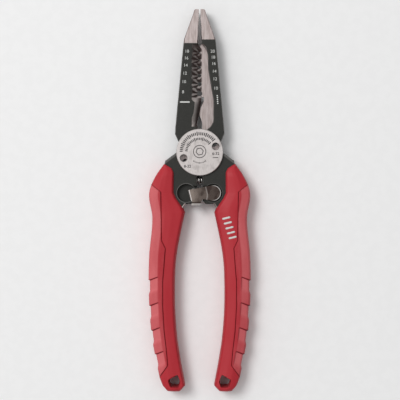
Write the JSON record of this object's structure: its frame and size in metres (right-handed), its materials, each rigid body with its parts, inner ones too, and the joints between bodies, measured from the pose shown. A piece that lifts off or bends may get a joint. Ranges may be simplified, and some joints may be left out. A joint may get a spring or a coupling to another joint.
{
  "type": "wire stripping pliers",
  "caption": "Long-nose wire stripping pliers with coned stripping notches, a cutter, screw shearing holes, a return spring, a handle lock and moulded grips.",
  "frame": {"origin": "on the pivot axis, at the rear face of the pivot nut, which is the surface the tool lies on", "axes": "+Z along the pivot axis, out of the front face; +Y from the pivot to the nose; +X to the handle of the front half"},
  "size_m": [0.062, 0.2296, 0.015],
  "materials": {
    "coated_steel": "black oxide, satin, ground bright on the nose, blades and shear faces",
    "ground_steel": "ground",
    "plated_steel": "plated, satin",
    "spring_steel": "oil tempered",
    "disc_steel": "bead blasted",
    "lever_steel": "tumbled stainless",
    "grip_core": "moulded, satin",
    "grip_strip": "soft overmould, matte"
  },
  "bodies": {
    "rear": {"rear_half": "coated_steel", "catch_pin": "plated_steel", "return_spring": "spring_steel", "left_grip_core": "grip_core", "left_grip_strip": "grip_strip"},
    "front": {"front_half": "coated_steel", "pivot_bolt": "ground_steel", "pivot_nut": "plated_steel", "nut_washer": "spring_steel", "cover_disc": "disc_steel", "disc_dowels": "ground_steel", "lock_rivet": "plated_steel", "lock_washer": "spring_steel", "right_grip_core": "grip_core", "right_grip_strip": "grip_strip"},
    "lock": {"lock_lever": "lever_steel"}
  },
  "joints": [
    {"name": "handle_pivot", "type": "hinge", "parent": "rear", "child": "front", "pos_m": [0, 0, 0.0075], "axis": [0, 0, 1], "range_deg": [-0.6, 16], "deforming": ["return_spring"]},
    {"name": "lock_pivot", "type": "hinge", "parent": "front", "child": "lock", "pos_m": [0.0081, -0.0244, 0.0111], "axis": [0, 0, 1], "range_deg": [-1.5, 40]}
  ],
  "couplings": [
    {"joint": "lock_pivot", "follows": "handle_pivot", "ratio": 2.5}
  ]
}
